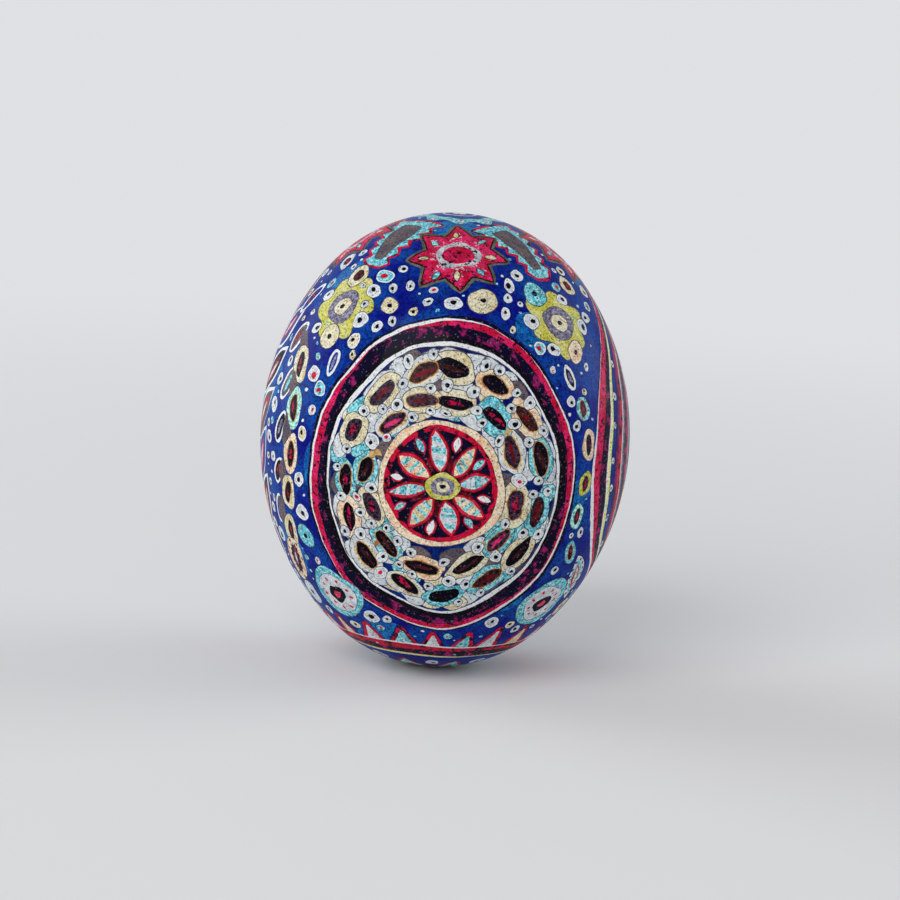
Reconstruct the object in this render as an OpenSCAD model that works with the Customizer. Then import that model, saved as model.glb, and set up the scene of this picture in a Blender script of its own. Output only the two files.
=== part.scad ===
/* [Egg] */
// Length of the egg along its axis, from pole to pole
egg_length = 150; // [138:0.5:162]
// Width of the egg across its widest place
egg_width = 121.4; // [112:0.2:130]
// How far the widest place lies above the middle, towards the blunt end
widest_rise = 0.9; // [0:0.1:3]
// Roundness of the blunt end: its radius as a share of the end radius of a plain ellipsoid
blunt_end_share = 1.089; // [1.03:0.001:1.1]
// Thickness of the eggshell
shell_thickness = 2; // [1.6:0.1:2.4]

/* [Blow hole] */
// Diameter of the hole that the egg was emptied through
blow_hole_diameter = 2.4; // [1.6:0.1:4]
// Width of the raw bevel round the hole's mouth, seen from above
bevel_width = 1.1; // [0.6:0.1:1.4]
// Slope of the bevel down from the surface, in degrees
bevel_slope = 30; // [20:1:40]

/* [Membranes] */
// Thickness of the outer shell membrane
outer_membrane_thickness = 0.16; // [0.1:0.01:0.25]
// Thickness of the inner shell membrane
inner_membrane_thickness = 0.1; // [0.06:0.01:0.16]
// Trace of air between each dried layer and the next
layer_gap = 0.05; // [0.02:0.01:0.1]
// How far the outer membrane stands back from the wall of the blow hole
outer_setback = 0.8; // [0.4:0.1:1.5]
// How far the inner membrane, torn in emptying, stands back from the wall of the blow hole
torn_setback = 3.4; // [2:0.1:6]

/* [Air cell] */
// Width of the air cell, where the inner membrane leaves the outer one
air_cell_width = 50; // [40:1:60]
// How high the inner membrane domes up across the air cell
air_cell_dome_rise = 1.5; // [1:0.1:2.4]

/* [Hidden] */
$fn = 144;

// How far each cut runs past the faces that it opens
overrun = 1;

// The egg's outline is three arcs that meet in tangents: a round cap at each end and one long
// arc down each side. The blunt cap's radius is given, and the other two follow from the size.
half_length = egg_length / 2;
half_width = egg_width / 2;
blunt_radius = blunt_end_share * half_width ^ 2 / half_length;
blunt_centre = half_length - blunt_radius;
side_radius = (half_width ^ 2 + (blunt_centre - widest_rise) ^ 2 - blunt_radius ^ 2)
    / (2 * (half_width - blunt_radius));
side_centre = half_width - side_radius;
pointed_reach = half_length + widest_rise;
pointed_radius = (2 * side_radius * half_width - half_width ^ 2 - pointed_reach ^ 2)
    / (2 * (side_radius - pointed_reach));
pointed_centre = pointed_radius - half_length;

// How far the side arc dips inside the caps where it joins them, so that the arcs cross cleanly
side_dip = 0.003;

// How far inside the egg's outline the outer face of each layer lies
outer_membrane_inset = shell_thickness + layer_gap;
inner_membrane_inset = outer_membrane_inset + outer_membrane_thickness + layer_gap;

// The dome that closes off the air cell, and the height of the rim that it springs from
air_cell_rim = blunt_centre + sqrt((blunt_radius - inner_membrane_inset) ^ 2 - (air_cell_width / 2) ^ 2);
dome_radius = ((air_cell_width / 2) ^ 2 + air_cell_dome_rise ^ 2) / (2 * air_cell_dome_rise);
dome_centre = air_cell_rim + air_cell_dome_rise - dome_radius;
dome_facets = 4 * $fn;

// Height at which a cap meets the side arc, on an outline that lies inset inside the egg's own
function join_height(cap_centre, cap_radius, inset) =
    widest_rise + (cap_centre - widest_rise) * (side_radius - inset) / (side_radius - cap_radius);

// Half plane to the right of the axis, between two heights
module band(low, high) {
    translate([0, low])
        square([egg_width, high - low]);
}

// Right half of the egg's outline, or of the outline that runs everywhere at an inset inside it
module egg_outline(inset = 0) {
    intersection() {
        union() {
            translate([0, blunt_centre])
                circle(blunt_radius - inset);
            translate([0, pointed_centre])
                circle(pointed_radius - inset);
            intersection() {
                translate([side_centre, widest_rise])
                    circle(side_radius - inset - side_dip);
                band(
                    join_height(pointed_centre, pointed_radius, inset),
                    join_height(blunt_centre, blunt_radius, inset)
                );
            }
        }
        band(-egg_length, egg_length);
    }
}

// The same outline with its blunt end cut off by the dome below the air cell
module outline_below_air_cell(inset, depth) {
    difference() {
        egg_outline(inset + depth);
        difference() {
            band(air_cell_rim - air_cell_dome_rise, egg_length);
            translate([0, dome_centre])
                circle(dome_radius - depth, $fn = dome_facets);
        }
    }
}

// Round opening on the axis through the blunt end, wider than the blow hole by a setback all round
module opening_at_blow_hole(setback) {
    cylinder(h = half_length + overrun, d = blow_hole_diameter + 2 * setback);
}

// Raw conical bevel round the hole's mouth, carried on past the surface at the same slope
module bevel_cut() {
    mouth_radius = blow_hole_diameter / 2 + bevel_width;
    mouth_height = blunt_centre + sqrt(blunt_radius ^ 2 - mouth_radius ^ 2);
    bevel_depth = bevel_width * tan(bevel_slope);
    translate([0, 0, mouth_height - bevel_depth])
        cylinder(
            h = bevel_depth + overrun,
            r1 = blow_hole_diameter / 2,
            r2 = mouth_radius + overrun / tan(bevel_slope)
        );
}

// Hollow shell of even thickness, opened at its blunt pole by the bevelled blow hole
module eggshell() {
    color("royalblue")
        difference() {
            rotate_extrude()
                difference() {
                    egg_outline();
                    egg_outline(shell_thickness);
                }
            opening_at_blow_hole(setback = 0);
            bevel_cut();
        }
}

// Tough dried membrane that lines the whole shell
module outer_membrane() {
    color("linen")
        difference() {
            rotate_extrude()
                difference() {
                    egg_outline(outer_membrane_inset);
                    egg_outline(outer_membrane_inset + outer_membrane_thickness);
                }
            opening_at_blow_hole(outer_setback);
        }
}

// Finer membrane inside the outer one, which it leaves at the blunt end to floor the air cell
module inner_membrane() {
    color("antiquewhite")
        difference() {
            rotate_extrude()
                difference() {
                    outline_below_air_cell(inner_membrane_inset, depth = 0);
                    outline_below_air_cell(inner_membrane_inset, depth = inner_membrane_thickness);
                }
            opening_at_blow_hole(torn_setback);
        }
}

eggshell();
outer_membrane();
inner_membrane();
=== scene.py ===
# %% [markdown]
# # A dyed ostrich egg, drawn flat and wrapped round
#
# The object is a pysanka on a blown ostrich egg. Its beeswax and dye leave flat patches of colour with
# crisp, slightly shaky edges, in the shell itself and under one coat of varnish, so nothing stands proud
# of the surface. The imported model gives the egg's real size and place, and the two dried membranes
# inside it. This lesson makes the shell again with its whole design cut into it as faces of each dye.

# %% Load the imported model
import math
import random

import bmesh
import bpy
import numpy as np
from mathutils import Matrix, Vector, kdtree
from mathutils.geometry import delaunay_2d_cdt


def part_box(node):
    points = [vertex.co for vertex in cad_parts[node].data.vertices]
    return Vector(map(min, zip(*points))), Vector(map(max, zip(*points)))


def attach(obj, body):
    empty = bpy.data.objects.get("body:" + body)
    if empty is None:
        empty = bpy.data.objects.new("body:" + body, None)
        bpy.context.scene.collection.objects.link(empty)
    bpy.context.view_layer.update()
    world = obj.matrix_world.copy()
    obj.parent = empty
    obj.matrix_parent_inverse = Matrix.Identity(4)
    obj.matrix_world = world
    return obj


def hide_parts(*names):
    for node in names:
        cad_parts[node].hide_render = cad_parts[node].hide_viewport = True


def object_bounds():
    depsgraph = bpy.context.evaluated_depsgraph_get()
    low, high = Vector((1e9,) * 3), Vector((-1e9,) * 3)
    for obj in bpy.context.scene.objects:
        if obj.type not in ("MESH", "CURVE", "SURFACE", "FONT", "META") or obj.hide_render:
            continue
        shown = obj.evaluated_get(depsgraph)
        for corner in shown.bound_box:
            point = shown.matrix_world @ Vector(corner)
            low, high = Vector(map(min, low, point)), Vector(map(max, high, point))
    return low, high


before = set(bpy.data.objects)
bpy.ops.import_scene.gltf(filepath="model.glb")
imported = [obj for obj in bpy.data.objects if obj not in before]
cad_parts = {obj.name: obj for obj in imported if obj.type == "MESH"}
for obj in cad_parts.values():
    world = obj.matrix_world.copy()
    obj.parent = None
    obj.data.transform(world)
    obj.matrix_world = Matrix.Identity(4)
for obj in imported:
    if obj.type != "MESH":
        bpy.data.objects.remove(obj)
cad_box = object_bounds()
MM = 0.001


def in_mm(box):
    """The two corners of a box in mm."""
    return [[round(c / MM, 2) for c in corner] for corner in box]


print("CAD box in mm:", in_mm(cad_box))

# %% [markdown]
# ## Camera, floor and light
#
# The egg in the picture stands upright and is seen from about nine degrees above its middle, with its
# top leaning a little to the right. A long lens from a metre away keeps its outline true. The floor is
# pale and plain, and three large soft lamps stand where a product photographer would put them. The camera
# and the gloss both see a pale background, but it throws no light of its own on the egg.

# %% Place the camera
view_height = math.radians(9)
camera_distance = 1.0
frame_width = 0.2965
roll = math.radians(3.74)
picture_side = 900
egg_left_of_middle = 5.2
egg_above_middle = 9.6


def add_object(name, data):
    """A new object in the scene."""
    item = bpy.data.objects.new(name, data)
    bpy.context.scene.collection.objects.link(item)
    return item


def facing_egg(place):
    """The turn that points a camera or a lamp at the egg's middle."""
    return (-Vector(place)).to_track_quat("-Z", "Y")


camera_data = bpy.data.cameras.new("camera")
camera_data.sensor_width = 36
camera_data.lens = camera_data.sensor_width * camera_distance / frame_width
camera_data.shift_x = egg_left_of_middle / picture_side
camera_data.shift_y = -egg_above_middle / picture_side
camera = add_object("camera", camera_data)
camera.location = (0, -camera_distance * math.cos(view_height), camera_distance * math.sin(view_height))
leaning = facing_egg(camera.location).to_matrix() @ Matrix.Rotation(roll, 3, "Z")
camera.rotation_euler = leaning.to_euler()
bpy.context.scene.camera = camera
print("lens:", round(camera_data.lens, 1), "mm")

# %% Lay the floor
floor_reach = 6
floor_mesh = bpy.data.meshes.new("floor")
work = bmesh.new()
bmesh.ops.create_grid(work, x_segments=1, y_segments=1, size=floor_reach)
bmesh.ops.translate(work, verts=work.verts, vec=(0, 0, cad_box[0].z))
work.to_mesh(floor_mesh)
work.free()
add_object("floor", floor_mesh)
print("floor height in mm:", round(cad_box[0].z / MM, 2))

# %% Make helpers for node trees


def fill(tree, node, **values):
    """Sets a node's options and inputs, and links an input whose value is another node's socket."""
    for name, value in values.items():
        slot = name.replace("_", " ")
        if hasattr(node, name):
            setattr(node, name, value)
        elif isinstance(value, bpy.types.NodeSocket):
            tree.links.new(value, node.inputs[slot])
        else:
            node.inputs[slot].default_value = value
    return node


def add_node(tree, kind, **values):
    """A new node, filled in."""
    return fill(tree, tree.nodes.new(kind), **values)


def ramp(tree, source, low, high, start=0.0, end=1.0):
    """The source value stretched from low..high to start..end, with soft ends."""
    soft = add_node(tree, "ShaderNodeMapRange", interpolation_type="SMOOTHSTEP", Value=source)
    return fill(tree, soft, From_Min=low, From_Max=high, To_Min=start, To_Max=end).outputs["Result"]


def combine(tree, operation, first, second):
    """Two values put together by a Math node; either may be a plain number."""
    node = add_node(tree, "ShaderNodeMath", operation=operation)
    for slot, value in zip(node.inputs, (first, second)):
        if isinstance(value, bpy.types.NodeSocket):
            tree.links.new(value, slot)
        else:
            slot.default_value = value
    return node.outputs[0]


def object_place(tree):
    """The place on the object, which every pattern here follows."""
    return tree.nodes.new("ShaderNodeTexCoord").outputs["Object"]


def new_material(name):
    """A new material, its node tree and its main shader."""
    material = bpy.data.materials.new(name)
    material.use_nodes = True
    return material, material.node_tree, material.node_tree.nodes["Principled BSDF"]


print("node helpers ready")

# %% Paint the floor so that it fades into the room
background = (0.74, 0.75, 0.77, 1)
fade_start, fade_end = 0.25, 1.1


def seen_rays(tree):
    """One for rays from the camera, a mirror or glass, and nought for rays that carry light."""
    rays = tree.nodes.new("ShaderNodeLightPath").outputs
    mirrors = combine(tree, "MAXIMUM", rays["Is Glossy Ray"], rays["Is Transmission Ray"])
    return combine(tree, "MAXIMUM", rays["Is Camera Ray"], mirrors)


def show(tree, output, share, near, far):
    """Sends the near shader to the output, and the far one instead as the share rises to one."""
    blend = tree.nodes.new("ShaderNodeMixShader")
    for slot, source in zip(blend.inputs, (share, near.outputs[0], far.outputs[0])):
        tree.links.new(source, slot)
    tree.links.new(blend.outputs[0], output.inputs["Surface"])


floor_paint, tree, matt = new_material("pale_floor")
fill(tree, matt, Base_Color=(0.78, 0.78, 0.78, 1), Roughness=0.9)
distance = add_node(tree, "ShaderNodeVectorMath", operation="LENGTH", Vector=object_place(tree))
fade = ramp(tree, distance.outputs["Value"], fade_start, fade_end)
far_look = add_node(tree, "ShaderNodeEmission", Color=background)
show(tree, tree.nodes["Material Output"], combine(tree, "MULTIPLY", fade, seen_rays(tree)), matt, far_look)
floor_mesh.materials.append(floor_paint)
print("floor fades between", fade_start, "and", fade_end, "m")

# %% Hang the lamps
for name, place, size, watts, tint in (
    ("key_lamp", (-1.4, -2.6, 1.9), 2.4, 70, (1.0, 0.99, 0.97)),
    ("left_lamp", (-2.0, 0.9, 0.7), 1.6, 26, (0.86, 0.92, 1.0)),
    ("right_lamp", (2.0, 0.7, 0.8), 1.4, 18, (0.95, 0.95, 1.0)),
):
    lamp_data = bpy.data.lights.new(name, "AREA")
    lamp_data.size = size
    lamp_data.energy = watts
    lamp_data.color = tint
    lamp = add_object(name, lamp_data)
    lamp.location = place
    lamp.rotation_euler = facing_egg(place).to_euler()
    print(name, "of", watts, "W")

# %% Light the room
room_strength = 0.35
room = bpy.data.worlds.new("pale_room")
room.use_nodes = True
bpy.context.scene.world = room
tree = room.node_tree
tree.nodes.clear()
room_light = add_node(tree, "ShaderNodeBackground", Color=(0.97, 0.98, 1.0, 1), Strength=room_strength)
room_view = add_node(tree, "ShaderNodeBackground", Color=background)
show(tree, tree.nodes.new("ShaderNodeOutputWorld"), seen_rays(tree), room_light, room_view)
bpy.context.scene.view_settings.view_transform = "Standard"
print("room light:", room_strength)

# %% [markdown]
# ## The egg's form
#
# An egg is round about its axis, so its form is one outline, spun. Three arcs make it: a round cap at
# each end and one long arc down the side, meeting in tangents. The length and width come from the packed
# model, and the blunt cap's roundness from the part itself; the other radii follow.

# %% Work out the three arcs
shell_low, shell_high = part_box("eggshell")
egg_length = -2 * shell_low.z / MM
egg_width = (shell_high.x - shell_low.x) / MM
widest_rise = 0.9
blunt_end_share = 1.089
shell_thickness = 2.0
hole_radius = 1.2
bevel_width = 1.1
bevel_slope = math.radians(30)

half_length = egg_length / 2
half_width = egg_width / 2
blunt_radius = blunt_end_share * half_width**2 / half_length
blunt_centre = half_length - blunt_radius
side_sum = half_width**2 + (blunt_centre - widest_rise) ** 2 - blunt_radius**2
side_radius = side_sum / (2 * (half_width - blunt_radius))
pointed_reach = half_length + widest_rise
pointed_sum = 2 * side_radius * half_width - half_width**2 - pointed_reach**2
pointed_radius = pointed_sum / (2 * (side_radius - pointed_reach))
pointed_centre = pointed_radius - half_length
side_centre = half_width - side_radius
upper_join = math.atan2(blunt_centre - widest_rise, -side_centre)
lower_join = math.atan2(pointed_centre - widest_rise, -side_centre)
print("radii in mm:", [round(r, 2) for r in (blunt_radius, side_radius, pointed_radius)])

# %% Follow the outline


def meridian(inset, steps):
    """Distance from the axis and height, in mm, and the surface's tilt, from blunt to pointed pole."""
    arcs = (
        (0, blunt_centre, blunt_radius, math.pi / 2, upper_join),
        (side_centre, widest_rise, side_radius, upper_join, lower_join),
        (0, pointed_centre, pointed_radius, lower_join, -math.pi / 2),
    )
    out, up, tilt = [], [], []
    for centre, height, radius, start, end in arcs:
        turn = np.linspace(start, end, steps)
        out.append(centre + (radius - inset) * np.cos(turn))
        up.append(height + (radius - inset) * np.sin(turn))
        tilt.append(turn)
    return [np.concatenate(parts) for parts in (out, up, tilt)]


fine_steps = 6000
fine_out, fine_up, fine_tilt = meridian(0, fine_steps)
fine_out = np.maximum(fine_out, 1e-6)
fine_step = np.hypot(np.diff(fine_out), np.diff(fine_up))
fine_arc = np.concatenate([[0], np.cumsum(fine_step)])
polar_angle = np.arctan2(fine_out, fine_up)
whole_arc = float(fine_arc[-1])
girth_arc = float(np.interp(math.pi / 2, polar_angle, fine_arc))


def latitude(arc):
    """Degrees above the middle of a place so many mm from the blunt pole."""
    return 90 - math.degrees(float(np.interp(arc, fine_arc, polar_angle)))


print("arc from pole to pole:", round(whole_arc, 1), "mm; the middle is at", round(girth_arc, 1), "mm")

# %% [markdown]
# ## A map of the egg
#
# The design is easiest to make on a flat sheet, as a traveller's chart of a globe is. Mercator's chart
# suits it: it keeps every small shape's form, so a round dot on the egg is a round dot on the chart, only
# larger near the ends. Each chart height stands for one ring round the egg, and a table ties the two.
# The chart runs from the mouth of the blow hole to a tiny patch round the pointed pole.

# %% Tie the chart to the egg
mean_out = (fine_out[1:] + fine_out[:-1]) / 2
chart_height = -np.concatenate([[0], np.cumsum(half_width * fine_step / mean_out)])
chart_height -= np.interp(math.pi / 2, polar_angle, chart_height)
chart_side = math.pi * half_width


def ring_height(out, up):
    """Chart height of the ring at this distance from the axis and this height, in mm."""
    return float(np.interp(math.atan2(out, up), polar_angle, chart_height))


mouth_radius = hole_radius + bevel_width
mouth_height = blunt_centre + math.sqrt(blunt_radius**2 - mouth_radius**2)
end_patch_radius = 0.5
end_patch_height = pointed_centre - math.sqrt(pointed_radius**2 - end_patch_radius**2)
chart_top = ring_height(mouth_radius, mouth_height)
chart_bottom = ring_height(end_patch_radius, end_patch_height)
print("chart:", round(2 * chart_side), "by", round(chart_top - chart_bottom), "mm")

# %% Go from the egg to the chart and back


def to_chart(directions):
    """Chart places of directions from the egg's centre, with the front in the middle."""
    x, y, z = np.asarray(directions, float).T
    across = np.unwrap(np.arctan2(x, -y)) * half_width
    return across, np.interp(np.arctan2(np.hypot(x, y), z), polar_angle, chart_height)


def to_egg(across, height):
    """Points on the egg, in mm, of places on the chart."""
    angle = np.interp(-np.asarray(height), -chart_height, polar_angle)
    out = np.interp(angle, polar_angle, fine_out)
    up = np.interp(angle, polar_angle, fine_up)
    turn = np.asarray(across) / half_width
    return np.stack([out * np.sin(turn), -out * np.cos(turn), up], axis=-1)


print("the chart's middle on the egg, in mm:", to_egg(0, 0).round(1).tolist())

# %% [markdown]
# ## Drawing with a shaky hand
#
# A pysanka's maker turns the egg and draws each figure straight on to it. Here a figure is a closed line
# of points on a small flat sheet that is laid on the egg at some longitude and latitude, with longitude
# nought at the front. Every later figure covers the earlier ones, as paint does. A tremor pushes all
# lines a little, in slow and quick waves that run over the whole egg, and small random nicks and swells
# in each outline keep it from looking ruled. The random numbers start from a fixed seed, so that every
# run draws the same egg.

# %% Give the hand its tremor
hand = random.Random(11)
waves_each = 5


def shake(size):
    """A random amount, up to the size either way."""
    return hand.uniform(-size, size)


def any_turn():
    """A random turn, in radians."""
    return hand.uniform(0, math.tau)


def any_way():
    """A random direction."""
    return Vector([hand.gauss(0, 1) for axis in range(3)]).normalized()


headings, pushes, phases = [], [], []
for length, size in ((27, 0.75), (10, 0.22), (3.2, 0.06)):
    for wave in range(waves_each):
        headings.append((any_way() * math.tau * half_width / length)[:])
        pushes.append((any_way() * size / half_width / math.sqrt(waves_each / 2))[:])
        phases.append(any_turn())


def shaken(directions):
    """The directions pushed a little sideways by the tremor."""
    directions = np.asarray([direction[:] for direction in directions])
    return directions + np.sin(directions @ np.array(headings).T + phases) @ np.array(pushes)


print("waves in the tremor:", len(phases))

# %% Lay a sheet on the egg


def sheet_at(longitude, latitude, turn=0.0):
    """A sheet laid on the egg at a place in degrees, as its axes and a figure's (u, v, turn) on it."""
    lon, lat = math.radians(longitude), math.radians(latitude)
    outward = Vector((math.sin(lon) * math.cos(lat), -math.cos(lon) * math.cos(lat), math.sin(lat)))
    right = Vector((math.cos(lon), math.sin(lon), 0))
    twist = Matrix.Rotation(math.radians(turn), 3, outward)
    reach = float(np.interp(math.pi / 2 - lat, polar_angle, np.hypot(fine_out, fine_up)))
    return (twist @ right, twist @ outward.cross(right), outward, reach), 0.0, 0.0, 0.0


def spot(sheet, u, v, turn=0.0):
    """A place on the sheet, in mm from its middle, for a figure turned by so many radians."""
    return sheet[0], u, v, turn


def wrap(axes, outline):
    """Directions from the egg's centre of an outline drawn on a sheet in mm."""
    right, up, outward, reach = axes
    wrapped = []
    for u, v in outline:
        far = math.hypot(u, v) + 1e-9
        angle = far / reach
        wrapped.append(outward * math.cos(angle) + (right * u + up * v) * (math.sin(angle) / far))
    return wrapped


print("the front's middle is", round(sheet_at(0, 0)[0][3], 1), "mm from the egg's centre")

# %% Draw an outline
drawing = []
ragged = 0.08


def moved(outline, u, v, turn=0.0):
    """The outline turned by so many radians, then moved."""
    c, s = math.cos(turn), math.sin(turn)
    return [(u + a * c - b * s, v + a * s + b * c) for a, b in outline]


def grown(outline, by):
    """The outline with every point moved outwards, or inwards if by is negative."""
    points = []
    for i, (u, v) in enumerate(outline):
        before, after = outline[i - 1], outline[(i + 1) % len(outline)]
        du, dv = after[0] - before[0], after[1] - before[1]
        size = math.hypot(du, dv) or 1
        points.append((u + by * dv / size, v - by * du / size))
    return points


def draw(dye, place, outline, by=0.0):
    """Covers an outline at a place with a dye, grown by so many mm, with a slightly ragged edge."""
    axes, *move = place
    nicked = [(u + shake(ragged), v + shake(ragged)) for u, v in grown(moved(outline, *move), by)]
    drawing.append((dye, to_chart(shaken(wrap(axes, nicked)))))


def edged(dye, place, outline, line=0.3, edge="hairline"):
    """A patch of dye inside a thin line."""
    draw(edge, place, outline, line)
    draw(dye, place, outline)


print("an edge's nicks in mm:", ragged)

# %% Make the plain outlines
usual_step = 0.8


def oval(half_u, half_v, wobble=0.0, step=usual_step):
    """Points round an oval, about a step apart."""
    around = math.tau * math.hypot(half_u, half_v) / math.sqrt(2)
    count = max(9, round(around / step))
    swells = []
    for k in (2, 3, 4, 5):
        swells.append((k, shake(wobble) / math.sqrt(k), any_turn()))
    points = []
    for i in range(count):
        a = math.tau * i / count
        swell = 1 + sum(size * math.cos(k * a + phase) for k, size, phase in swells)
        points.append((half_u * swell * math.cos(a), half_v * swell * math.sin(a)))
    return points


def leaf_share(t):
    """How wide a leaf is at a share of its length, as a share of its greatest width."""
    return math.sin(math.pi * t) ** 0.9


def lens(length, width, wobble=0.0, step=usual_step):
    """A leaf form, pointed at both ends, along u."""
    count = max(5, round(length / step))
    bulge = [shake(wobble) for side in range(4)]
    points = []
    for side, sign in ((0, 1), (2, -1)):
        for i in range(count):
            t = i / count
            swell = leaf_share(t) * (1 + bulge[side] + bulge[side + 1] * math.cos(math.pi * t))
            points.append((sign * length * (0.5 - t), sign * width / 2 * swell))
    return points


def sides_split(corners, step=1.2):
    """A closed outline with straight sides and points at every step along them."""
    points = []
    for (u, v), (next_u, next_v) in zip(corners, corners[1:] + corners[:1]):
        count = max(1, round(math.hypot(next_u - u, next_v - v) / step))
        points += [(u + (next_u - u) * k / count, v + (next_v - v) * k / count) for k in range(count)]
    return points


print("points on a square of 12 mm:", len(sides_split([(0, 0), (12, 0), (12, 12), (0, 12)])))

# %% Make the stars and strokes


def on_oval(half_u, half_v, a):
    """The point of an oval at an angle."""
    return half_u * math.cos(a), half_v * math.sin(a)


def star(tips, outer, inner, wobble=0.0):
    """A star's outline with straight sides."""
    corners = []
    for i in range(2 * tips):
        r = (outer if i % 2 == 0 else inner) * (1 + shake(wobble))
        corners.append(on_oval(r, r, math.pi * i / tips + math.pi / 2))
    return sides_split(corners)


def stroke(path, widths):
    """The outline of a brush stroke along a path, with its width at the start, middle and end."""
    left, right = [], []
    last = len(path) - 1
    for i, (u, v) in enumerate(path):
        before, after = path[max(i - 1, 0)], path[min(i + 1, last)]
        du, dv = after[0] - before[0], after[1] - before[1]
        size = math.hypot(du, dv) or 1
        half = np.interp(i / last, (0, 0.5, 1), widths) / 2
        left.append((u - half * dv / size, v + half * du / size))
        right.append((u + half * dv / size, v - half * du / size))
    return right + left[::-1]


def girdle(dye, upper, lower):
    """A band right round the egg; its two edges are mm from the blunt pole, by longitude."""
    steps = 240
    turns = [math.tau * (i / steps - 0.5) * (1 + 0.5 / steps) for i in range(steps + 1)]
    edges = []
    for edge in (lower, upper):
        heights = np.interp([edge(turn) for turn in turns], fine_arc, chart_height)
        edges.append(list(zip([turn * half_width for turn in turns], heights)))
    across, heights = zip(*(edges[0] + edges[1][::-1]))
    drawing.append((dye, (np.array(across), np.array(heights))))


print("points on a stroke of three:", len(stroke([(0, 0), (1, 0), (2, 0)], (1, 1, 1))))

# %% [markdown]
# ## The small figures
#
# The photographed egg is covered with small round dots that have a dark eye, and with dark almond seeds
# in pale haloes. Where two pale dyes meet there is a hair-thin dark line, left where the wax lines did
# not quite touch. Each figure here is a short function that draws its layers from the largest down, in
# millimetres and in shares of the figure's own size. The last numbers given to an outline are how much it
# wobbles and, on a small one, how close its points lie.

# %% Draw the dots
bright_rim_from = 1.9
small_step = 0.6


def turned(place):
    """The same place at a random turn."""
    return *place[:3], any_turn()


def shifted(place, u, v):
    """The same place, moved by so many mm along the sheet."""
    return place[0], place[1] + u, place[2] + v, place[3]


def ring_dot(place, radius, body="white", eye="soot", line="hairline"):
    """A pale dot with an eye a little off its middle; a large one has a brighter rim."""
    place = turned(place)
    shape = oval(radius, radius * hand.uniform(0.86, 1), 0.08)
    draw(line, place, shape, 0.22)
    if radius > bright_rim_from:
        draw("bright", place, shape)
        draw(body, place, shape, -0.42)
    else:
        draw(body, place, shape)
    pupil_place = shifted(place, shake(0.2) * radius, shake(0.2) * radius)
    pupil = radius * hand.uniform(0.3, 0.46)
    draw(eye, pupil_place, oval(pupil, pupil * 0.88, 0.2, small_step))


def big_disc(place, radius):
    """A large pale disc with a small eye, or a pale ring round a brown eye."""
    shape = oval(radius, radius * 0.94, 0.07)
    disc_place = turned(place)
    edged(hand.choice(("cream", "cream", "white", "turquoise", "peach")), disc_place, shape)
    if hand.random() < 0.5:
        draw("soot", place, oval(1.0, 0.85, 0.2, small_step))
    else:
        draw("brown", place, oval(radius * 0.56, radius * 0.5, 0.1))
        draw("ember", shifted(place, 0.4, 0), oval(radius * 0.3, radius * 0.24, 0.25, small_step))


print("dots over", bright_rim_from, "mm in radius have a bright rim")

# %% Draw an almond seed in its halo
halo_dyes = ("turquoise",) * 3 + ("cream",) * 3 + ("mint", "peach", "white", "white")
seed_dyes = (
    ("ember", "soot"),
    ("ember", "dusk"),
    ("pink_blotch", "dusk"),
    ("navy", "soot"),
    ("oxblood", "umber"),
    ("brown", "soot"),
    ("oxblood", "dusk"),
)


def halo(place, length, width, dye, spread):
    """The pale field that a seed will lie in."""
    edged(dye, place, oval(length / 2 + spread, width / 2 + spread, 0.11), 0.25)
    if dye == "white":
        draw("cream", place, oval(length / 2 + 0.9, width / 2 + 0.9, 0.11))


def seed(place, length, width, core="ember", skin="soot"):
    """A dark almond with a ragged streak of another dye down its middle, and often a scorched edge."""
    body = oval(length / 2, width / 2, 0.09)
    if hand.random() < 0.6:
        draw("scorch", place, body, 0.35)
    draw(skin, place, body)
    offset = shake(0.25)
    streak = oval(length * hand.uniform(0.2, 0.36), width * 0.17, 0.4, small_step)
    draw(core, place, moved(streak, 0, offset, shake(0.12)))


print("dyes of haloes and seeds:", len(set(halo_dyes)), len(seed_dyes))

# %% Draw the flowers and stars
star_tips = 8
daisy_spots = 9
flower_lobes = 6


def daisy(sheet, radius):
    """A ring of one dye round a white field of small dots, with a dark heart."""
    edged("turquoise", sheet, oval(radius, radius * 0.94, 0.06))
    edged("white", sheet, oval(radius * 0.76, radius * 0.72, 0.06), 0.2)
    for i in range(daisy_spots):
        a = math.tau * (i + shake(0.15)) / daisy_spots
        far = radius * hand.uniform(0.52, 0.6)
        dot = oval(hand.uniform(0.5, 0.9), 0.55, 0.25, small_step)
        draw("crimson", spot(sheet, *on_oval(far, far, a), a), dot)
    draw("soot", sheet, oval(radius * 0.38, radius * 0.31, 0.14))
    draw("pink", sheet, oval(radius * 0.17, radius * 0.12, 0.3, small_step))


def yellow_flower(sheet, radius):
    """A lobed yellow-green field with a speckled ring, and dots between the lobes."""
    lobed = []
    for u, v in oval(radius, radius, 0.05, 1):
        a = math.atan2(v, u)
        swell = 0.87 + 0.13 * math.cos(flower_lobes * a + 0.3 * math.sin(a))
        lobed.append((u * swell, v * swell))
    edged("yellow", sheet, lobed)
    edged("lilac", sheet, oval(radius * 0.5, radius * 0.46, 0.07), 0.2)
    edged("cream", sheet, oval(radius * 0.27, radius * 0.24, 0.08), 0.2)
    draw("soot", sheet, oval(0.95, 0.85, 0.15, small_step))
    for i in range(flower_lobes):
        a = math.tau * (i + 0.5 + shake(0.12)) / flower_lobes
        far = radius * hand.uniform(0.84, 0.94)
        place = spot(sheet, *on_oval(far, far, a))
        if i % 3 == 1:
            big_disc(place, hand.uniform(3.2, 4.0))
        else:
            ring_dot(place, hand.uniform(2.0, 2.8))


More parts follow.
